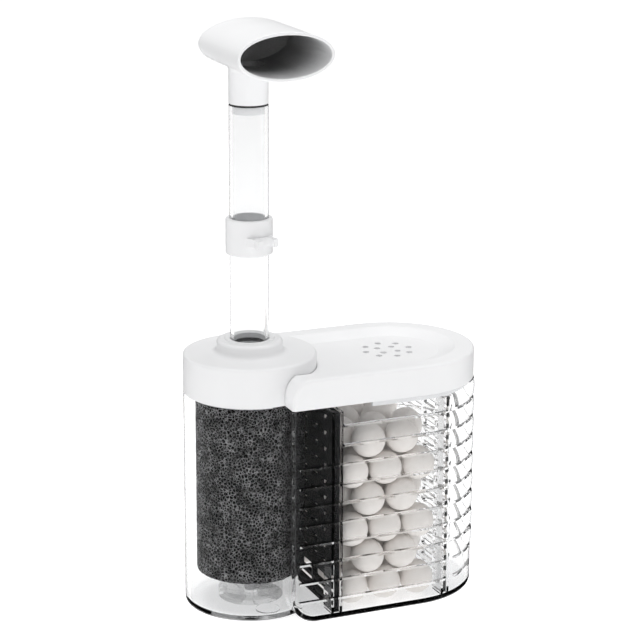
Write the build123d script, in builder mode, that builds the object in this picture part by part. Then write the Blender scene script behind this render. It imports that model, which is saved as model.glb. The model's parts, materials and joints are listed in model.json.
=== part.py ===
from build123d import *
import math
import os

os.makedirs("parts", exist_ok=True)

# Air-driven box filter, in millimetres. The lift tube's axis is Z and the underside is z = 0.
# +X runs along the box, away from the sponge, and -Y is the front, where the outlet points.

# Driving dimensions
TUBE_RADIUS = 8.0
TUBE_BORE = 6.6
FIT = 0.05              # radial clearance of everything that turns or slides on a tube
GAP = 0.3               # clearance between shells that lift apart

WALL = 2.0
SHELL_TOP = 92.0
LOBE_RADIUS = 27.4
BOX_LEFT = 4.5
BOX_MID_Y = -1.2
BOX_RADIUS = 34.8       # half the box's width, and the radius of its round end
END_X = 63.2            # centre of the round end
LOW_CORNER = 11.0       # big rounding under the flat end
EDGE = 2.0

SLOT_COUNT = 10
SLOT_PITCH = 8.23
SLOT_FIRST = 9.1
SLOT_HEIGHT = 0.9
SLOT_DEPTH = 3.05       # from 1 mm outside the wall to just past its inner face
SLOT_LEFT = 7.5
BADGE_RIGHT = 27.0      # the two top slots start here

RIB_THICK = 1.2
RIB_DEPTH = 8.0
RIB_TOP = 89.0
MESH_DIVIDER_X = 24.55
MESH_DIVIDER_THICK = 2.2
CLEAR_DIVIDER_X = 74.8
CLEAR_DIVIDER_THICK = 1.6

CAP_TOP = 108.2
BOSS_RADIUS = 13.5
BOSS_TOP = 113.7
LID_TOP = 104.4
DISH_DEPTH = 2.3

SPONGE_RADIUS = 22.5
SPONGE_TOP = 91.8
CORE_BOTTOM = 14.6
CORE_TOP = 97.0
LOWER_TUBE_BOTTOM = 103.5
TUBE_SPLIT = 157.0
COLLAR_BOTTOM = 149.5
COLLAR_TOP = 164.3
COLLAR_RADIUS = 9.6
NECK_BOTTOM = 210.9
SEAL_HEIGHT = 0.8

HORN_X = 1.1
HORN_Z = 234.6
HORN_HALF_WIDTH = 20.1
HORN_HALF_HEIGHT = 9.6
HORN_WALL = 1.3
MOUTH_Y = -37.5
HORN_REAR_Y = 8.5

BALL_RADIUS = 7.2
BALL_GAP = 0.3


def save(builder, name):
    """Label a finished piece and write its STEP file."""
    builder.part.label = name
    export_step(builder.part, f"parts/{name}.step")


def box_outline(height, inset=0.0, left=BOX_LEFT):
    """Plan of the box at a height: a flat left end and a half-round right end."""
    half = BOX_RADIUS - inset
    with BuildSketch(Plane.XY.offset(height)) as outline:
        with Locations((left + inset, BOX_MID_Y)):
            Rectangle(END_X - left - inset, 2 * half, align=(Align.MIN, Align.CENTER))
        with Locations((END_X, BOX_MID_Y)):
            Circle(half)
    return outline.sketch


def disc(radius, height, x=0.0, y=0.0):
    """Round profile at a height."""
    with BuildSketch(Plane.XY.offset(height)) as profile:
        with Locations((x, y)):
            Circle(radius)
    return profile.sketch


def ring(outer, inner, height, x=0.0, y=0.0):
    """Ring profile at a height."""
    with BuildSketch(Plane.XY.offset(height)) as profile:
        with Locations((x, y)):
            Circle(outer)
            Circle(inner, mode=Mode.SUBTRACT)
    return profile.sketch


def rounded_drum(radius, bottom, top, corner):
    """Upright drum with its bottom edge rounded."""
    with BuildPart() as drum:
        extrude(disc(radius, bottom), amount=top - bottom)
        fillet(drum.faces().sort_by(Axis.Z)[0].edges(), corner)
    return drum.part


def rounded_box(inset, bottom, top, corner, edge):
    """Box body with a big rounding under its flat end and a small one round the floor."""
    with BuildPart() as body:
        extrude(box_outline(bottom, inset), amount=top - bottom)
        fillet(body.edges().group_by(Axis.Z)[0].sort_by(Axis.X)[0], corner)
        floor_edges = body.faces().sort_by(Axis.Z)[0].edges()
        fillet(floor_edges.sort_by(Axis.X)[1:], edge)
    return body.part


def wall_y(x, side, inset):
    """Y of the box wall, a given distance in from its outside, on the front (-1) or back (+1)."""
    along = max(x - END_X, 0.0)
    return BOX_MID_Y + side * math.sqrt((BOX_RADIUS - inset) ** 2 - along**2)


# ---------------------------------------------------------------- clear housing
slot_heights = [SLOT_FIRST + SLOT_PITCH * row for row in range(SLOT_COUNT)]
band_edges = [z for z in slot_heights if z > 11.0] + [SLOT_FIRST + SLOT_PITCH * SLOT_COUNT]
BAND_BULGE = 0.6

with BuildPart() as clear_housing:
    add(rounded_drum(LOBE_RADIUS, 0, SHELL_TOP, EDGE))
    add(rounded_box(0, 0, SHELL_TOP, LOW_CORNER, EDGE))
    # Half-round bands round the right end, one between each pair of slots
    with BuildSketch(Plane.XZ.offset(-BOX_MID_Y)) as band_profile:
        for low, high in zip(band_edges[:-1], band_edges[1:]):
            with BuildLine():
                foot = END_X + BOX_RADIUS - 0.5
                skin = END_X + BOX_RADIUS
                start = (skin, low + 0.2)
                end = (skin, high - 0.2)
                ThreePointArc(start, (skin + BAND_BULGE, (low + high) / 2), end)
                Polyline(end, (foot, high - 0.2), (foot, low + 0.2), start)
            make_face()
    end_axis = Axis((END_X, BOX_MID_Y, 0), (0, 0, 1))
    revolve(band_profile.sketch, axis=end_axis, revolution_arc=69)
    revolve(band_profile.sketch, axis=end_axis, revolution_arc=-69)
    # Inside
    add(rounded_drum(LOBE_RADIUS - WALL, WALL, SHELL_TOP, 0.8), mode=Mode.SUBTRACT)
    add(rounded_box(WALL, WALL, SHELL_TOP, LOW_CORNER - WALL, 0.8), mode=Mode.SUBTRACT)
    # Guide ribs that hold the two dividers, front and back
    rib_lines = []
    for middle, thick in (
        (MESH_DIVIDER_X, MESH_DIVIDER_THICK),
        (CLEAR_DIVIDER_X, CLEAR_DIVIDER_THICK),
    ):
        offset_x = (thick + RIB_THICK) / 2 + 0.15
        rib_lines += [middle - offset_x, middle + offset_x]
    for x in rib_lines:
        for side in (-1, 1):
            inner = wall_y(x, side, WALL) - side * RIB_DEPTH
            outer = wall_y(x + RIB_THICK / 2, side, WALL / 2)
            with Locations((x, (inner + outer) / 2, 1.0)):
                Box(
                    RIB_THICK,
                    abs(outer - inner),
                    RIB_TOP - 1.0,
                    align=(Align.CENTER, Align.CENTER, Align.MIN),
                )
    # Intake slots through the front and back walls
    slot_middle = BOX_RADIUS + 1.0 - SLOT_DEPTH / 2
    for row, z in enumerate(slot_heights):
        slot_start = BADGE_RIGHT if row >= SLOT_COUNT - 2 else SLOT_LEFT
        for side in (-1, 1):
            with Locations((slot_start, BOX_MID_Y + side * slot_middle, z)):
                Box(
                    END_X - slot_start,
                    SLOT_DEPTH,
                    SLOT_HEIGHT,
                    align=(Align.MIN, Align.CENTER, Align.CENTER),
                    mode=Mode.SUBTRACT,
                )
    # The same slots carried round the right end, in five arcs between posts
    with BuildSketch(Plane.XZ.offset(-BOX_MID_Y)) as slot_profile:
        with Locations(*[(END_X + slot_middle, z) for z in slot_heights]):
            Rectangle(SLOT_DEPTH, SLOT_HEIGHT)
    for start, sweep_angle in ((-90, 19), (-62, 34), (-22, 44), (28, 34), (71, 19)):
        turned = slot_profile.sketch.rotate(end_axis, start)
        revolve(turned, axis=end_axis, revolution_arc=sweep_angle, mode=Mode.SUBTRACT)
    # Raised pads on the lobe's floor
    for y in (-19.0, 19.0):
        extrude(disc(5.0, WALL - 0.2, 0, y), amount=0.7)
save(clear_housing, "clear_housing")

# ---------------------------------------------------------------- round cap
CAP_WALL_INNER = LOBE_RADIUS - 2.4
CAP_ROOF = CAP_TOP - 2.4
PIPE_Z = 100.0
SOCKET_RADIUS = 11.0
LIP_HEIGHT = 1.0
SEAL_RADIUS = 10.25
SEAL_SEAT = 110.2

with BuildPart() as round_cap:
    extrude(disc(LOBE_RADIUS, SHELL_TOP), amount=CAP_TOP - SHELL_TOP)
    fillet(round_cap.faces().sort_by(Axis.Z)[-1].edges(), 1.2)
    extrude(disc(BOSS_RADIUS, CAP_TOP - 1.0), amount=BOSS_TOP - CAP_TOP + 1.0)
    fillet(round_cap.faces().sort_by(Axis.Z)[-1].edges(), 1.5)
    foot_edges = round_cap.edges().filter_by_position(Axis.Z, CAP_TOP - 0.01, CAP_TOP + 0.01)
    fillet(foot_edges.sort_by(SortBy.LENGTH)[0], 2.5)
    # Hollow underside, round the socket for the core
    extrude(
        ring(CAP_WALL_INNER, SOCKET_RADIUS, SHELL_TOP),
        amount=CAP_ROOF - SHELL_TOP,
        mode=Mode.SUBTRACT,
    )
    # Low locating lip inside the lobe, on the side away from the box
    with BuildSketch(Plane.XY.offset(SHELL_TOP - LIP_HEIGHT)) as lip:
        Circle(LOBE_RADIUS - WALL - GAP)
        Circle(LOBE_RADIUS - WALL - GAP - 1.6, mode=Mode.SUBTRACT)
        Rectangle(60, 60, align=(Align.MIN, Align.CENTER), mode=Mode.SUBTRACT)
    extrude(amount=CAP_ROOF - SHELL_TOP + LIP_HEIGHT + 0.5)
    # Bore: core socket below, a throat for the air pipe, tube socket above, seal seat on top
    extrude(disc(TUBE_RADIUS + FIT, SHELL_TOP), amount=CORE_TOP - SHELL_TOP, mode=Mode.SUBTRACT)
    extrude(disc(TUBE_BORE, CORE_TOP), amount=LOWER_TUBE_BOTTOM - CORE_TOP, mode=Mode.SUBTRACT)
    extrude(disc(TUBE_RADIUS + FIT, LOWER_TUBE_BOTTOM), amount=12, mode=Mode.SUBTRACT)
    extrude(disc(SEAL_RADIUS, SEAL_SEAT), amount=5, mode=Mode.SUBTRACT)
    # Passage for the air pipe, through the socket and out of the back wall
    with BuildSketch(Plane.XZ.offset(-5.0)) as passage:
        with Locations((0, PIPE_Z)):
            Circle(2.55)
    extrude(amount=-25, mode=Mode.SUBTRACT)
save(round_cap, "round_cap")

# ---------------------------------------------------------------- seal and ring in the cap's boss
with BuildPart() as tube_seal:
    extrude(ring(SEAL_RADIUS - FIT, TUBE_RADIUS + 0.02, SEAL_SEAT), amount=1.6)
    fillet(tube_seal.edges(), 0.5)
save(tube_seal, "tube_seal")

with BuildPart() as socket_ring:
    extrude(ring(SEAL_RADIUS - FIT, TUBE_RADIUS + FIT, SEAL_SEAT + 1.6), amount=2.2)
    fillet(socket_ring.faces().sort_by(Axis.Z)[-1].edges(), 0.4)
save(socket_ring, "socket_ring")

# ---------------------------------------------------------------- box lid
DISH_FLOOR = LID_TOP - DISH_DEPTH
LID_ROOF = DISH_FLOOR - 2.4
HOLE_CENTRE = (61.5, BOX_MID_Y)
AIR_HOLE_RADIUS = 1.4

with BuildPart() as dish:
    loft([box_outline(DISH_FLOOR, 15.0, left=-20), box_outline(LID_TOP, 8.0, left=-20)])
    extrude(box_outline(LID_TOP, 8.0, left=-20), amount=1.0)

with BuildPart() as box_lid:
    extrude(box_outline(SHELL_TOP), amount=LID_TOP - SHELL_TOP)
    fillet(box_lid.edges().group_by(Axis.Z)[-1].sort_by(Axis.X)[0], 8.0)
    top_edges = box_lid.faces().sort_by(Axis.Z)[-1].edges()
    fillet(top_edges.sort_by(Axis.X)[1:], 1.2)
    add(dish.part, mode=Mode.SUBTRACT)
    # Hollow underside, then the cut-out that clears the round cap
    with BuildSketch(Plane.XY.offset(SHELL_TOP)) as hollow:
        add(box_outline(0, WALL + GAP + 1.5))
        Circle(LOBE_RADIUS + GAP + 2.0, mode=Mode.SUBTRACT)
    extrude(amount=LID_ROOF - SHELL_TOP, mode=Mode.SUBTRACT)
    # Locating rim inside the box walls
    with BuildSketch(Plane.XY.offset(SHELL_TOP - 2.4)) as rim:
        add(box_outline(0, WALL + GAP))
        add(box_outline(0, WALL + GAP + 1.5), mode=Mode.SUBTRACT)
        Rectangle(80, 80, align=(Align.CENTER, Align.CENTER), mode=Mode.SUBTRACT)
    extrude(amount=2.6)
    extrude(disc(LOBE_RADIUS + GAP, SHELL_TOP - 5), amount=30, mode=Mode.SUBTRACT)
    # Air holes through the floor of the dish
    with Locations(Plane((*HOLE_CENTRE, LID_ROOF))):
        with PolarLocations(9.8, 8):
            Cylinder(AIR_HOLE_RADIUS, 10, mode=Mode.SUBTRACT)
        with PolarLocations(4.6, 4, start_angle=45):
            Cylinder(AIR_HOLE_RADIUS, 10, mode=Mode.SUBTRACT)
save(box_lid, "box_lid")

# ---------------------------------------------------------------- lift tubes
with BuildPart() as lower_tube:
    extrude(ring(TUBE_RADIUS, TUBE_BORE, LOWER_TUBE_BOTTOM), amount=TUBE_SPLIT - 0.4 - LOWER_TUBE_BOTTOM)
save(lower_tube, "lower_tube")

UPPER_TUBE_TOP = NECK_BOTTOM - SEAL_HEIGHT
with BuildPart() as upper_tube:
    extrude(ring(TUBE_RADIUS, TUBE_BORE, TUBE_SPLIT + 0.4), amount=UPPER_TUBE_TOP - TUBE_SPLIT - 0.4)
save(upper_tube, "upper_tube")

# ---------------------------------------------------------------- collar with the airline clip
CLIP_Y = -13.2
CLIP_BORE = 3.0
CLIP_RADIUS = 4.9
CLIP_BOTTOM = 154.4
CLIP_HEIGHT = 3.3
CLIP_TURN = 10.0        # degrees from the front towards +X

with BuildPart() as clip_collar:
    extrude(disc(COLLAR_RADIUS, COLLAR_BOTTOM), amount=COLLAR_TOP - COLLAR_BOTTOM)
    fillet(clip_collar.edges(), 0.6)
    # Web and open clip, its mouth to the front
    with BuildSketch(Plane.XY.offset(CLIP_BOTTOM)) as clip:
        with Locations((0, CLIP_Y)):
            Circle(CLIP_RADIUS)
        with BuildLine():
            Polyline((-6.6, -5.5), (-4.3, CLIP_Y + 1), (4.3, CLIP_Y + 1), (6.6, -5.5), close=True)
        make_face()
        with Locations((0, CLIP_Y)):
            Circle(CLIP_BORE, mode=Mode.SUBTRACT)
            Rectangle(12, 8, align=(Align.CENTER, Align.MAX), mode=Mode.SUBTRACT)
    extrude(clip.sketch.rotate(Axis.Z, CLIP_TURN), amount=CLIP_HEIGHT, mode=Mode.ADD)
    # The two prongs curl in below the middle of the clip
    with BuildSketch(Plane.XY.offset(CLIP_BOTTOM)) as prongs:
        with Locations((0, CLIP_Y)):
            Circle(CLIP_RADIUS)
            Circle(CLIP_BORE, mode=Mode.SUBTRACT)
            Rectangle(12, 8, align=(Align.CENTER, Align.MIN), mode=Mode.SUBTRACT)
        with Locations((0, CLIP_Y - 1.7)):
            Rectangle(12, 8, align=(Align.CENTER, Align.MAX), mode=Mode.SUBTRACT)
    extrude(prongs.sketch.rotate(Axis.Z, CLIP_TURN), amount=CLIP_HEIGHT, mode=Mode.ADD)
    # Bores from both ends, with the stop between the tube ends left standing
    extrude(disc(TUBE_BORE, COLLAR_BOTTOM), amount=COLLAR_TOP - COLLAR_BOTTOM, mode=Mode.SUBTRACT)
    extrude(disc(TUBE_RADIUS + FIT, COLLAR_BOTTOM), amount=TUBE_SPLIT - 0.4 - COLLAR_BOTTOM, mode=Mode.SUBTRACT)
    extrude(disc(TUBE_RADIUS + FIT, TUBE_SPLIT + 0.4), amount=COLLAR_TOP - TUBE_SPLIT - 0.4, mode=Mode.SUBTRACT)
save(clip_collar, "clip_collar")

# ---------------------------------------------------------------- outlet
SPIGOT_BORE = 5.2
SPIGOT_LENGTH = 4.0


def horn_profile(y, inset):
    """Ellipse across the horn, a given distance inside its skin."""
    with BuildSketch(Plane.XZ.offset(-y)) as profile:
        with Locations((HORN_X, HORN_Z)):
            Ellipse(HORN_HALF_WIDTH - inset, HORN_HALF_HEIGHT - inset)
    return profile.sketch


with BuildPart() as outlet_duckbill:
    extrude(horn_profile(MOUTH_Y, 0), amount=MOUTH_Y - HORN_REAR_Y)
    fillet(outlet_duckbill.faces().sort_by(Axis.Y)[-1].edges(), 3.5)
    extrude(disc(TUBE_RADIUS, NECK_BOTTOM), amount=HORN_Z - NECK_BOTTOM)
    neck_seam = outlet_duckbill.edges().filter_by_position(Axis.Z, 222, 230).filter_by_position(Axis.Y, -5, 5)
    fillet(neck_seam, 2.5)
    extrude(horn_profile(MOUTH_Y, HORN_WALL), amount=MOUTH_Y - HORN_REAR_Y + 1.5, mode=Mode.SUBTRACT)
    fillet(outlet_duckbill.faces().sort_by(Axis.Y)[0].edges(), 0.4)
    extrude(disc(TUBE_BORE, NECK_BOTTOM + 1.2), amount=19, mode=Mode.SUBTRACT)
    # Spigot that turns inside the top of the upper tube
    extrude(disc(TUBE_BORE - FIT, NECK_BOTTOM - SPIGOT_LENGTH), amount=SPIGOT_LENGTH)
    extrude(disc(SPIGOT_BORE, NECK_BOTTOM - SPIGOT_LENGTH), amount=SPIGOT_LENGTH + 2, mode=Mode.SUBTRACT)
save(outlet_duckbill, "outlet_duckbill")

with BuildPart() as outlet_seal:
    extrude(ring(TUBE_RADIUS - 0.1, TUBE_BORE, UPPER_TUBE_TOP), amount=SEAL_HEIGHT)
save(outlet_seal, "outlet_seal")

# ---------------------------------------------------------------- sponge cartridge
with BuildPart() as sponge_cylinder:
    extrude(ring(SPONGE_RADIUS, TUBE_RADIUS, CORE_BOTTOM), amount=SPONGE_TOP - CORE_BOTTOM)
    fillet(sponge_cylinder.edges().group_by(SortBy.LENGTH)[-1], 1.0)
save(sponge_cylinder, "sponge_cylinder")

with BuildPart() as sponge_core:
    extrude(ring(TUBE_RADIUS, TUBE_BORE, CORE_BOTTOM), amount=CORE_TOP - CORE_BOTTOM)
    for row in range(5):
        with Locations(Plane.XY.offset(28.0 + 12.5 * row)):
            with PolarLocations(TUBE_RADIUS, 6):
                Box(6, 3, 8, mode=Mode.SUBTRACT)
save(sponge_core, "sponge_core")

PEG_RADIUS = 2.7
PEG_BOTTOM = 3.8
FLANGE_BOTTOM = CORE_BOTTOM - 2.2

with BuildPart() as core_end_cap:
    extrude(disc(14.0, FLANGE_BOTTOM), amount=2.2)
    fillet(core_end_cap.edges(), 0.5)
    extrude(disc(TUBE_BORE - FIT, CORE_BOTTOM - 1.0), amount=5.0)
    extrude(disc(PEG_RADIUS + FIT, FLANGE_BOTTOM), amount=3.2, mode=Mode.SUBTRACT)
save(core_end_cap, "core_end_cap")

with BuildPart() as centre_peg:
    extrude(disc(PEG_RADIUS, PEG_BOTTOM), amount=FLANGE_BOTTOM + 3.1 - PEG_BOTTOM)
    chamfer(centre_peg.faces().sort_by(Axis.Z)[0].edges(), 0.7)
    extrude(disc(PEG_RADIUS + 1.4, FLANGE_BOTTOM - 1.6), amount=1.5)
save(centre_peg, "centre_peg")

PIPE_RADIUS = 2.3
PIPE_BORE = 1.5
DIFFUSER_BOTTOM = CORE_BOTTOM + 4.0
BARB_INNER_Y = 22.0

with BuildPart() as air_pipe:
    with BuildLine() as route:
        FilletPolyline((0, BARB_INNER_Y, PIPE_Z), (0, 0, PIPE_Z), (0, 0, DIFFUSER_BOTTOM + 5), radius=6)
    with BuildSketch(Plane.XZ.offset(-BARB_INNER_Y)) as pipe_section:
        with Locations((0, PIPE_Z)):
            Circle(PIPE_RADIUS)
            Circle(PIPE_BORE, mode=Mode.SUBTRACT)
    sweep(path=route.line)
save(air_pipe, "air_pipe")

with BuildPart() as air_diffuser:
    extrude(disc(3.8, DIFFUSER_BOTTOM), amount=14)
    fillet(air_diffuser.faces().sort_by(Axis.Z)[-1].edges(), 0.8)
    extrude(disc(PIPE_RADIUS + FIT, DIFFUSER_BOTTOM + 1.5), amount=20, mode=Mode.SUBTRACT)
    with Locations(Plane.XY.offset(DIFFUSER_BOTTOM + 3.2)):
        for angle in range(0, 180, 45):
            Cylinder(0.6, 10, rotation=(0, 90, angle), mode=Mode.SUBTRACT)
save(air_diffuser, "air_diffuser")

BARB_RADIUS = 2.1
BARB_TIP_Y = 36.4
with BuildPart() as air_inlet_barb:
    with BuildSketch(Plane.XZ.offset(-BARB_INNER_Y)):
        with Locations((0, PIPE_Z)):
            Circle(2.5)
    extrude(amount=-(LOBE_RADIUS - BARB_INNER_Y + 0.5))
    with BuildSketch(Plane.XZ.offset(-LOBE_RADIUS)):
        with Locations((0, PIPE_Z)):
            Circle(4.0)
    extrude(amount=-1.4)
    with BuildSketch(Plane.XZ.offset(-LOBE_RADIUS)):
        with Locations((0, PIPE_Z)):
            Circle(BARB_RADIUS)
    extrude(amount=-(BARB_TIP_Y - LOBE_RADIUS))
    chamfer(air_inlet_barb.faces().sort_by(Axis.Y)[-1].edges(), 0.4)
    with BuildSketch(Plane.XZ.offset(-BARB_INNER_Y)):
        with Locations((0, PIPE_Z)):
            Circle(1.3)
    extrude(amount=-20, mode=Mode.SUBTRACT)
save(air_inlet_barb, "air_inlet_barb")

SEAT_TOP = 12.2
with BuildPart() as sponge_seat:
    extrude(disc(BOSS_RADIUS, WALL), amount=SEAT_TOP - WALL)
    extrude(disc(BOSS_RADIUS - 1.6, WALL + 1.4), amount=SEAT_TOP, mode=Mode.SUBTRACT)
    extrude(disc(3.1, WALL), amount=5, mode=Mode.SUBTRACT)
    with Locations(Plane.XY.offset(7.8)):
        with PolarLocations(BOSS_RADIUS, 6, start_angle=30):
            Box(8, 7, 5, mode=Mode.SUBTRACT)
save(sponge_seat, "sponge_seat")

# ---------------------------------------------------------------- dividers
DIVIDER_BOTTOM = 2.4
DIVIDER_TOP = 88.6


def divider_sheet(x, thick):
    """Upright plate across the box, between its front and back walls."""
    half = BOX_MID_Y - wall_y(x + thick / 2, -1, WALL + GAP)
    with BuildPart() as plate:
        with Locations((x, BOX_MID_Y, DIVIDER_BOTTOM)):
            Box(thick, 2 * half, DIVIDER_TOP - DIVIDER_BOTTOM, align=(Align.CENTER, Align.CENTER, Align.MIN))
    return plate.part


def divider_face(x, height):
    """Plane across the box at a divider, with its own x along Y and its own y upward."""
    return Plane((x, BOX_MID_Y, height), x_dir=(0, 1, 0), z_dir=(1, 0, 0))


# Mesh divider: short slots above, wide windows between two thin bars below
MESH_ROW_PITCH = 7.0
MESH_ROWS = 10
MESH_FIRST_ROW = 21.5
BAR_HEIGHTS = (5.4, 10.2)
BAR_THICK = 1.4
WINDOW_TOP = 15.6

with BuildPart() as mesh_divider:
    add(divider_sheet(MESH_DIVIDER_X, MESH_DIVIDER_THICK))
    mesh_middle = MESH_FIRST_ROW + MESH_ROW_PITCH * (MESH_ROWS - 1) / 2
    with Locations(divider_face(MESH_DIVIDER_X, mesh_middle)):
        with GridLocations(11.0, MESH_ROW_PITCH, 5, MESH_ROWS):
            Box(7.0, 2.4, 6, mode=Mode.SUBTRACT)
    window_bottoms = [DIVIDER_BOTTOM + 1.2] + [height + BAR_THICK / 2 for height in BAR_HEIGHTS]
    window_tops = [height - BAR_THICK / 2 for height in BAR_HEIGHTS] + [WINDOW_TOP]
    for low, high in zip(window_bottoms, window_tops):
        with Locations(divider_face(MESH_DIVIDER_X, (low + high) / 2)):
            with GridLocations(19.0, 1.0, 3, 1):
                Box(17.6, high - low, 6, mode=Mode.SUBTRACT)
save(mesh_divider, "mesh_divider")

# Clear divider: long level slots with bars between them
CLEAR_ROW_PITCH = 4.85
CLEAR_ROWS = 16

with BuildPart() as clear_divider:
    add(divider_sheet(CLEAR_DIVIDER_X, CLEAR_DIVIDER_THICK))
    with Locations(divider_face(CLEAR_DIVIDER_X, (DIVIDER_BOTTOM + DIVIDER_TOP) / 2)):
        with GridLocations(17.0, CLEAR_ROW_PITCH, 3, CLEAR_ROWS):
            Box(14.6, 2.8, 6, mode=Mode.SUBTRACT)
save(clear_divider, "clear_divider")

# ---------------------------------------------------------------- ceramic balls
# Nested rows of three and two, in upright layers. Neighbouring layers swap threes and twos.
BALL_STEP = 15.0
BALL_FRONT_GAP = 1.3
BALL_MID_X = 49.4
ball_reach = 2 * BALL_RADIUS + BALL_GAP
row_rise = math.sqrt(ball_reach**2 - (BALL_STEP / 2) ** 2)
first_row_z = WALL + BALL_RADIUS + 0.1
first_layer_y = BOX_MID_Y - BOX_RADIUS + WALL + BALL_RADIUS + BALL_FRONT_GAP
last_layer_y = BOX_MID_Y + BOX_RADIUS - WALL - BALL_RADIUS - GAP
LAYERS = 5
ROWS = 6

for layer in range(LAYERS):
    y = first_layer_y + (last_layer_y - first_layer_y) * layer / (LAYERS - 1)
    with BuildPart() as ball_layer:
        for row in range(ROWS):
            count = 3 if (row + layer) % 2 == 0 else 2
            for index in range(count):
                x = BALL_MID_X + BALL_STEP * (index - (count - 1) / 2)
                with Locations((x, y, first_row_z + row_rise * row)):
                    Sphere(BALL_RADIUS)
    save(ball_layer, f"ceramic_balls_{layer + 1}")
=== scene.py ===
import json
import math
import random

import bmesh
import bpy
from mathutils import Matrix, Vector, noise

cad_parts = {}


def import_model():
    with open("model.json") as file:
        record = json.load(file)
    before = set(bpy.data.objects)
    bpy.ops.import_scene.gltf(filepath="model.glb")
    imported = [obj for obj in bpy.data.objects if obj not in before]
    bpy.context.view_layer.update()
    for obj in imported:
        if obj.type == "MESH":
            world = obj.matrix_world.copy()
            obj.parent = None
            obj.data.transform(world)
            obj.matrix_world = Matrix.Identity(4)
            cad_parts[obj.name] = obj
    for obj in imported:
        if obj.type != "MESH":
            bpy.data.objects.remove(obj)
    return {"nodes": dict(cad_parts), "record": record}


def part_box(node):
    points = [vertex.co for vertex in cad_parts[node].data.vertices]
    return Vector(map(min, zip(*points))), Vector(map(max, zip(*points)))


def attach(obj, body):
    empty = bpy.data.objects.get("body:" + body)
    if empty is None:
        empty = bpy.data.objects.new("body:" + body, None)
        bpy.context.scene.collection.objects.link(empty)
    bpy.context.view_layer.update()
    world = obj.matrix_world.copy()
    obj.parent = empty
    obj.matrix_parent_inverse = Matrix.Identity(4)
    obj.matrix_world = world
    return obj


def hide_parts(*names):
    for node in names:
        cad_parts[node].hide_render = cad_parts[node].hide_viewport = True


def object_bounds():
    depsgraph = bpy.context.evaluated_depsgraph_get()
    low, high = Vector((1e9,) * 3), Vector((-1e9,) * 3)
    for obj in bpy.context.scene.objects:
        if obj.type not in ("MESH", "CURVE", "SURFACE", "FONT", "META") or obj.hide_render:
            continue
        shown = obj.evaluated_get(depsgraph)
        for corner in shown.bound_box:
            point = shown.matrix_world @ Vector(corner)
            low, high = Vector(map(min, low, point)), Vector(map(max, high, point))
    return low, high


MM = 0.001
CELL_SIZE = 1.3 * MM

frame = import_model()
cad_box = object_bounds()
nodes = frame["nodes"]
scene = bpy.context.scene
scene.view_settings.view_transform = "Standard"
scene.view_settings.look = "None"


# ------------------------------------------------------------------ node helpers
def new_material(name):
    """An empty node material with one Principled shader on its output."""
    material = bpy.data.materials.new(name)
    material.use_nodes = True
    tree = material.node_tree
    tree.nodes.clear()
    output = tree.nodes.new("ShaderNodeOutputMaterial")
    shader = tree.nodes.new("ShaderNodeBsdfPrincipled")
    tree.links.new(shader.outputs[0], output.inputs["Surface"])
    return material, tree, shader


def object_noise(tree, scale, detail=4.0, roughness=0.55):
    """Noise over the object's own coordinates; the output is its factor."""
    place = tree.nodes.new("ShaderNodeTexCoord")
    made = tree.nodes.new("ShaderNodeTexNoise")
    made.inputs["Scale"].default_value = scale
    made.inputs["Detail"].default_value = detail
    made.inputs["Roughness"].default_value = roughness
    tree.links.new(place.outputs["Object"], made.inputs["Vector"])
    return made.outputs["Fac"]


def spread(tree, factor, low, high, start=0.3, end=0.7):
    """Maps a factor, from a start to an end, onto a range of values."""
    made = tree.nodes.new("ShaderNodeMapRange")
    made.inputs["From Min"].default_value = start
    made.inputs["From Max"].default_value = end
    made.inputs["To Min"].default_value = low
    made.inputs["To Max"].default_value = high
    tree.links.new(factor, made.inputs["Value"])
    return made.outputs["Result"]


def two_colours(tree, factor, dark, light):
    """Blends two colours by a factor."""
    made = tree.nodes.new("ShaderNodeMix")
    made.data_type = "RGBA"
    made.inputs[6].default_value = (*dark, 1)
    made.inputs[7].default_value = (*light, 1)
    tree.links.new(factor, made.inputs["Factor"])
    return made.outputs[2]


def add_bump(tree, shader, height, strength, distance):
    """Bumps a shader's normal by a height."""
    made = tree.nodes.new("ShaderNodeBump")
    made.inputs["Strength"].default_value = strength
    made.inputs["Distance"].default_value = distance
    tree.links.new(height, made.inputs["Height"])
    tree.links.new(made.outputs["Normal"], shader.inputs["Normal"])


# ------------------------------------------------------------------ materials
def clear_plastic(name, index, tint):
    """Glossy moulded polystyrene. Lamps shine through it to what is inside."""
    material, tree, shader = new_material(name)
    shader.inputs["Base Color"].default_value = (tint, tint * 1.002, tint * 1.004, 1)
    shader.inputs["Transmission Weight"].default_value = 1.0
    shader.inputs["IOR"].default_value = index
    shader.inputs["Specular IOR Level"].default_value = 0.4
    shader.inputs["Roughness"].default_value = 0.03
    add_bump(tree, shader, object_noise(tree, 60, 2.0), 0.12, 0.4 * MM)
    see_through = tree.nodes.new("ShaderNodeBsdfTransparent")
    see_through.inputs["Color"].default_value = (0.97, 0.972, 0.975, 1)
    rays = tree.nodes.new("ShaderNodeLightPath")
    either = tree.nodes.new("ShaderNodeMath")
    either.operation = "MAXIMUM"
    tree.links.new(rays.outputs["Is Shadow Ray"], either.inputs[0])
    tree.links.new(rays.outputs["Is Diffuse Ray"], either.inputs[1])
    mix = tree.nodes.new("ShaderNodeMixShader")
    tree.links.new(either.outputs[0], mix.inputs[0])
    tree.links.new(shader.outputs[0], mix.inputs[1])
    tree.links.new(see_through.outputs[0], mix.inputs[2])
    tree.links.new(mix.outputs[0], tree.get_output_node("ALL").inputs["Surface"])
    return material


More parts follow.
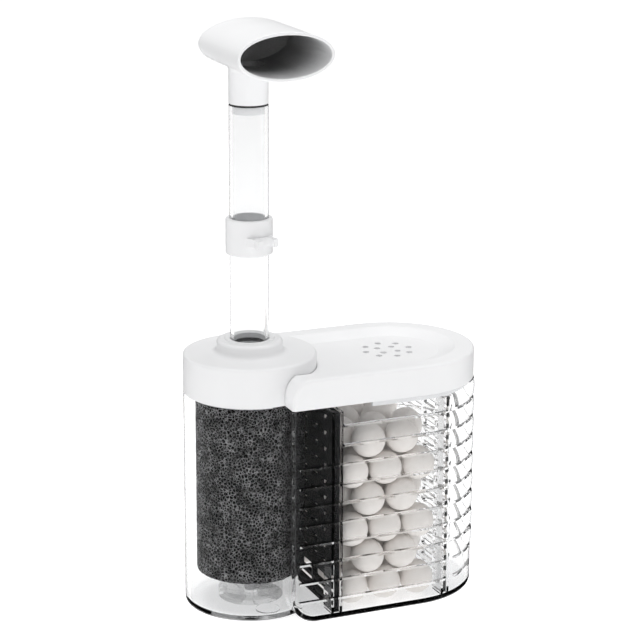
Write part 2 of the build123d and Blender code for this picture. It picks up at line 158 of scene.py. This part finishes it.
def thin_clear():
    """The same clear plastic on thin walls: a faint haze, with a painted reflection that makes the
    walls whiter and less see-through towards the grazing edges.
    """
    material, tree, shader = new_material("thin_clear_plastic")
    haze = object_noise(tree, 80, 2.0)
    colour = two_colours(tree, haze, (0.88, 0.885, 0.89), (0.92, 0.925, 0.93))
    tree.links.new(colour, shader.inputs["Base Color"])
    tree.links.new(spread(tree, haze, 0.08, 0.14), shader.inputs["Roughness"])
    # Painted reflection: the white base grows more opaque where the surface turns away, so the edges
    # look whiter.
    edge = tree.nodes.new("ShaderNodeLayerWeight")
    edge.inputs["Blend"].default_value = 0.5
    tree.links.new(spread(tree, edge.outputs["Facing"], 0.12, 0.5, 0.55, 1.0), shader.inputs["Alpha"])
    shader.inputs["Specular IOR Level"].default_value = 0.3
    return material


def white_plastic():
    """White moulded ABS, satin, with a faint mottle, and painted shade that darkens the colour deep
    in its hollows by ambient occlusion.
    """
    material, tree, shader = new_material("white_plastic")
    mottle = object_noise(tree, 45, 3.0)
    colour = two_colours(tree, mottle, (0.83, 0.832, 0.84), (0.87, 0.872, 0.878))
    # Painted shade: ambient occlusion blends the base colour towards near-black deep in hollows, such
    # as inside the horn.
    occlusion_for_painted_shade = tree.nodes.new("ShaderNodeAmbientOcclusion")
    occlusion_for_painted_shade.samples = 8
    occlusion_for_painted_shade.only_local = True
    occlusion_for_painted_shade.inputs["Distance"].default_value = 30 * MM
    depth = spread(tree, occlusion_for_painted_shade.outputs["AO"], 0.05, 1.0, 0.06, 0.3)
    painted_hollow_shade = tree.nodes.new("ShaderNodeMix")
    painted_hollow_shade.data_type = "RGBA"
    painted_hollow_shade.inputs[6].default_value = (0.02, 0.02, 0.02, 1)
    tree.links.new(depth, painted_hollow_shade.inputs["Factor"])
    tree.links.new(colour, painted_hollow_shade.inputs[7])
    tree.links.new(painted_hollow_shade.outputs[2], shader.inputs["Base Color"])
    tree.links.new(spread(tree, mottle, 0.30, 0.38), shader.inputs["Roughness"])
    shader.inputs["Specular IOR Level"].default_value = 0.45
    add_bump(tree, shader, object_noise(tree, 900, 2.0), 0.05, 0.1 * MM)
    return material


def foam():
    """Black reticulated foam: dull black cells in a net of glossier struts, with painted shade in the
    cells and painted light on the struts.
    """
    material, tree, shader = new_material("black_foam")
    place = tree.nodes.new("ShaderNodeTexCoord")
    cells = tree.nodes.new("ShaderNodeTexVoronoi")
    cells.feature = "DISTANCE_TO_EDGE"
    cells.inputs["Scale"].default_value = 1 / CELL_SIZE
    tree.links.new(place.outputs["Object"], cells.inputs["Vector"])
    net = spread(tree, cells.outputs["Distance"], 1.0, 0.0, 0.03, 0.13)
    product = tree.nodes.new("ShaderNodeMath")
    product.operation = "MULTIPLY"
    tree.links.new(net, product.inputs[0])
    tree.links.new(spread(tree, object_noise(tree, 220, 3.0), 0.2, 1.0), product.inputs[1])
    strut = product.outputs[0]
    # Painted light and shade: the open cells are near-black as shade inside the foam, and the struts
    # lighter grey as their lit edges.
    colour = two_colours(tree, strut, (0.0015, 0.0015, 0.0015), (0.32, 0.32, 0.325))
    tree.links.new(colour, shader.inputs["Base Color"])
    tree.links.new(spread(tree, strut, 0.8, 0.42, 0.0, 0.7), shader.inputs["Roughness"])
    shader.inputs["Metallic"].default_value = 0.85
    shader.inputs["Specular IOR Level"].default_value = 0.05
    add_bump(tree, shader, strut, 0.35, 0.3 * MM)
    return material


def black_plastic():
    """Black moulded plastic with a fine grain."""
    material, tree, shader = new_material("black_plastic")
    grain = object_noise(tree, 300, 3.0)
    colour = two_colours(tree, grain, (0.002, 0.002, 0.0022), (0.005, 0.005, 0.0055))
    tree.links.new(colour, shader.inputs["Base Color"])
    tree.links.new(spread(tree, grain, 0.5, 0.65), shader.inputs["Roughness"])
    shader.inputs["Specular IOR Level"].default_value = 0.05
    add_bump(tree, shader, object_noise(tree, 1500, 2.0), 0.08, 0.1 * MM)
    return material


def grey_plastic():
    """Grey moulded plastic."""
    material, tree, shader = new_material("grey_plastic")
    grain = object_noise(tree, 200, 3.0)
    colour = two_colours(tree, grain, (0.30, 0.30, 0.305), (0.36, 0.36, 0.365))
    tree.links.new(colour, shader.inputs["Base Color"])
    tree.links.new(spread(tree, grain, 0.35, 0.5), shader.inputs["Roughness"])
    add_bump(tree, shader, object_noise(tree, 1200, 2.0), 0.08, 0.1 * MM)
    return material


def rubber():
    """Soft black rubber."""
    material, tree, shader = new_material("black_rubber")
    grain = object_noise(tree, 400, 3.0)
    colour = two_colours(tree, grain, (0.02, 0.02, 0.02), (0.04, 0.04, 0.04))
    tree.links.new(colour, shader.inputs["Base Color"])
    tree.links.new(spread(tree, grain, 0.6, 0.8), shader.inputs["Roughness"])
    add_bump(tree, shader, grain, 0.1, 0.1 * MM)
    return material


def ceramic():
    """Porous off-white ceramic: chalky, with faint grey-brown clouds and fine pits."""
    material, tree, shader = new_material("porous_ceramic")
    clouds = object_noise(tree, 120, 5.0, 0.6)
    colour = two_colours(tree, spread(tree, clouds, 0, 1), (0.77, 0.73, 0.695), (0.85, 0.82, 0.79))
    tree.links.new(colour, shader.inputs["Base Color"])
    tree.links.new(spread(tree, clouds, 0.7, 0.85), shader.inputs["Roughness"])
    shader.inputs["Specular IOR Level"].default_value = 0.25
    add_bump(tree, shader, object_noise(tree, 1400, 4.0), 0.35, 0.25 * MM)
    return material


def floor_paint():
    """Plain pale floor."""
    material, tree, shader = new_material("floor_paint")
    grain = object_noise(tree, 3, 2.0)
    colour = two_colours(tree, grain, (0.93, 0.93, 0.93), (0.94, 0.94, 0.94))
    tree.links.new(colour, shader.inputs["Base Color"])
    shader.inputs["Roughness"].default_value = 0.9
    shader.inputs["Specular IOR Level"].default_value = 0.1
    shader.inputs["Emission Color"].default_value = (1, 1, 1, 1)
    shader.inputs["Emission Strength"].default_value = 0.58
    return material


CLEAR = clear_plastic("clear_plastic", 1.2, 0.91)
TUBE_CLEAR = clear_plastic("clear_tube_plastic", 1.4, 0.88)
THIN = thin_clear()
WHITE = white_plastic()
FOAM = foam()
BLACK = black_plastic()
GREY = grey_plastic()
RUBBER = rubber()
CERAMIC = ceramic()

SLOT_LOOKS = {
    "clear_plastic": CLEAR,
    "white_plastic": WHITE,
    "black_sponge": FOAM,
    "black_plastic": BLACK,
    "grey_plastic": GREY,
    "black_rubber": RUBBER,
    "white_ceramic": CERAMIC,
}

THIN_CLEAR = ("core_end_cap", "sponge_seat")
THICK_CLEAR = ("lower_tube", "upper_tube", "clear_divider")


def dress_cad_nodes():
    """Every carried-over CAD node takes the material of its record slot."""
    for part in frame["record"]["subparts"]:
        piece = nodes[part["node"]]
        look = SLOT_LOOKS[part["material_slot"]]
        if part["node"] in THIN_CLEAR:
            look = THIN
        elif part["node"] in THICK_CLEAR:
            look = TUBE_CLEAR
        piece.data.materials.clear()
        piece.data.materials.append(look)


dress_cad_nodes()


# ------------------------------------------------------------------ sponge
PIT_DEPTH = 0.3 * MM
RAGGEDNESS = 0.15 * MM
STRUT_WIDTH = 0.42
CORNER = 1.2 * MM
END_INSET = 0.7 * MM
POINTS_AROUND = 420
ROWS_UP = 230
RINGS_IN = 40


def mesh_object(name, vertices, faces, material, smooth=True):
    """An object made from vertex positions and faces, in metres in the row frame."""
    mesh = bpy.data.meshes.new(name)
    mesh.from_pydata(vertices, [], faces)
    mesh.materials.append(material)
    for polygon in mesh.polygons:
        polygon.use_smooth = smooth
    made = bpy.data.objects.new(name, mesh)
    scene.collection.objects.link(made)
    return made


def strut_share(point):
    """How much of a strut a point is: 1 on the wall between two foam cells, 0 inside a cell."""
    near = noise.voronoi(point / CELL_SIZE)[0]
    edge = (near[1] - near[0]) / STRUT_WIDTH
    return max(0.0, 1.0 - edge) ** 1.5


def sponge():
    """A foam sleeve with real open cells pressed into its skin, round the core."""
    low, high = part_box("sponge_cylinder")
    core_low, core_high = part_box("sponge_core")
    radius = (high.x - low.x) / 2
    bore = (core_high.x - core_low.x) / 2 + 0.05 * MM
    profile = []
    for row in range(ROWS_UP + 1):
        z = low.z + (high.z - low.z) * row / ROWS_UP
        from_end = min(z - low.z, high.z - z)
        tuck = CORNER - math.sqrt(max(CORNER**2 - (CORNER - min(from_end, CORNER)) ** 2, 0))
        profile.append((radius - tuck * 0.6, z, 1.0))
    top = []
    for ring in range(1, RINGS_IN + 1):
        r = radius - END_INSET - (radius - bore - END_INSET) * ring / RINGS_IN
        top.append((r, high.z, 0.8))
    bottom = [(r, low.z, depth) for r, z, depth in reversed(top)]
    loop = bottom + profile + top
    vertices = []
    for r, z, depth in loop:
        for step in range(POINTS_AROUND):
            angle = 2 * math.pi * step / POINTS_AROUND
            skin = Vector((r * math.cos(angle), r * math.sin(angle), z))
            share = strut_share(skin)
            ragged = noise.noise(skin * 900) * RAGGEDNESS
            sink = (1 - share) * PIT_DEPTH * depth
            if z in (low.z, high.z) and r < radius - 0.5 * MM:
                place = skin + Vector((0, 0, sink if z == low.z else -sink))
            else:
                place = skin.copy()
                shrink = (r - sink - abs(ragged)) / r
                place.x *= shrink
                place.y *= shrink
            vertices.append(place)
    faces = []
    count = len(loop)
    for row in range(count):
        here = row * POINTS_AROUND
        above = (row + 1) % count * POINTS_AROUND
        for step in range(POINTS_AROUND):
            beside = (step + 1) % POINTS_AROUND
            faces.append((here + step, here + beside, above + beside, above + step))
    made = mesh_object("foam_sleeve", vertices, faces, FOAM)
    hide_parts("sponge_cylinder")
    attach(made, "cartridge")


sponge()


# ------------------------------------------------------------------ ceramic balls
def ball_centres(name):
    """The centre and radius of each separate ball in a CAD layer, in a fixed order."""
    mesh = bmesh.new()
    mesh.from_mesh(nodes[name].data)
    bmesh.ops.remove_doubles(mesh, verts=mesh.verts, dist=0.01 * MM)
    left = set(mesh.verts)
    balls = []
    while left:
        todo = [left.pop()]
        island = []
        while todo:
            vertex = todo.pop()
            island.append(vertex.co.copy())
            for edge in vertex.link_edges:
                other = edge.other_vert(vertex)
                if other in left:
                    left.remove(other)
                    todo.append(other)
        low = Vector([min(p[k] for p in island) for k in range(3)])
        high = Vector([max(p[k] for p in island) for k in range(3)])
        balls.append(((low + high) / 2, (high.z - low.z) / 2))
    mesh.free()
    balls.sort(key=lambda ball: tuple(round(value, 5) for value in ball[0]))
    return balls


def ball_layer(name):
    """One layer of slightly lumpy ceramic balls where the CAD balls are."""
    rng = random.Random(name)
    whole = bmesh.new()
    for centre, radius in ball_centres(name):
        size = radius * rng.uniform(0.975, 1.0)
        angle = rng.uniform(0, math.tau)
        axis = Vector((rng.random(), rng.random(), 1)).normalized()
        turn = Matrix.Rotation(angle, 4, axis)
        made = bmesh.ops.create_icosphere(whole, subdivisions=4, radius=size)
        away = Vector((rng.uniform(0, 50), rng.uniform(0, 50), rng.uniform(0, 50)))
        for vertex in made["verts"]:
            way = vertex.co.normalized()
            lump = noise.noise(way * 1.6 + away) * 0.012 + noise.noise(way * 5 + away) * 0.004
            vertex.co = centre + turn @ (way * size * (1 - abs(lump)))
    mesh = bpy.data.meshes.new(name + "_lumpy")
    whole.to_mesh(mesh)
    whole.free()
    mesh.materials.append(CERAMIC)
    for polygon in mesh.polygons:
        polygon.use_smooth = True
    piece = bpy.data.objects.new(name + "_lumpy", mesh)
    scene.collection.objects.link(piece)
    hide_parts(name)
    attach(piece, "housing")


for part in frame["record"]["subparts"]:
    if part["material_slot"] == "white_ceramic":
        ball_layer(part["node"])


# ------------------------------------------------------------------ stage, light and camera
def floor():
    """A wide pale floor under the filter."""
    reach = 6.0
    made = mesh_object(
        "studio_floor",
        [(-reach, -reach, 0), (reach, -reach, 0), (reach, reach, 0), (-reach, reach, 0)],
        [(0, 1, 2, 3)],
        floor_paint(),
        smooth=False,
    )
    made.location.z = -0.1 * MM
    made.visible_glossy = False


def world():
    """A white studio. Reflections see darkness just below the horizon, and light straight down."""
    made = bpy.data.worlds.new("studio")
    made.use_nodes = True
    tree = made.node_tree
    tree.nodes.clear()
    output = tree.nodes.new("ShaderNodeOutputWorld")
    background = tree.nodes.new("ShaderNodeBackground")
    place = tree.nodes.new("ShaderNodeTexCoord")
    split = tree.nodes.new("ShaderNodeSeparateXYZ")
    tree.links.new(place.outputs["Generated"], split.inputs[0])
    above = spread(tree, split.outputs["Z"], 0.02, 0.5, -0.05, 0.3)
    beneath = spread(tree, split.outputs["Z"], 0.5, 0.0, -0.75, -0.45)
    strength = tree.nodes.new("ShaderNodeMath")
    strength.operation = "ADD"
    tree.links.new(above, strength.inputs[0])
    tree.links.new(beneath, strength.inputs[1])
    tree.links.new(strength.outputs[0], background.inputs["Strength"])
    background.inputs["Color"].default_value = (1, 1, 1, 1)
    tree.links.new(background.outputs[0], output.inputs["Surface"])
    scene.world = made


def softbox(name, place, target, width, height, power):
    """A rectangular area light that faces a target."""
    data = bpy.data.lights.new(name, "AREA")
    data.shape = "RECTANGLE"
    data.size = width
    data.size_y = height
    data.energy = power
    made = bpy.data.objects.new(name, data)
    made.location = place
    made.rotation_euler = (Vector(target) - Vector(place)).to_track_quat("-Z", "Y").to_euler()
    scene.collection.objects.link(made)


CAMERA_AZIMUTH = math.radians(-23.174)
CAMERA_ELEVATION = math.radians(15.755)
CAMERA_ROLL = math.radians(0.24)
CAMERA_DISTANCE = 0.9522
CAMERA_TARGET = Vector((0.03124, 0.0, 0.11788))
SENSOR = 36.0
LENS = 129.69


def camera():
    """The camera at the filter's front left, a little above it."""
    back = Vector((
        math.sin(CAMERA_AZIMUTH) * math.cos(CAMERA_ELEVATION),
        -math.cos(CAMERA_AZIMUTH) * math.cos(CAMERA_ELEVATION),
        math.sin(CAMERA_ELEVATION),
    ))
    right = Vector((math.cos(CAMERA_AZIMUTH), math.sin(CAMERA_AZIMUTH), 0))
    up = back.cross(right)
    turn = Matrix((right, up, back)).transposed().to_4x4() @ Matrix.Rotation(CAMERA_ROLL, 4, "Z")
    data = bpy.data.cameras.new("camera")
    data.sensor_width = SENSOR
    data.lens = LENS
    data.clip_start = 0.01
    data.clip_end = 50
    made = bpy.data.objects.new("camera", data)
    made.matrix_world = Matrix.Translation(CAMERA_TARGET + back * CAMERA_DISTANCE) @ turn
    scene.collection.objects.link(made)
    scene.camera = made


floor()
world()
camera()
middle = ((cad_box[0][0] + cad_box[1][0]) / 2, 0, 0.12)
softbox("key_left", (-0.66, -0.76, 0.55), middle, 0.9, 0.6, 1.75)
softbox("fill_right", (0.95, -0.5, 0.35), middle, 0.5, 0.8, 1.3)
softbox("top", (0.05, 0.1, 1.1), middle, 0.8, 0.8, 6.8)
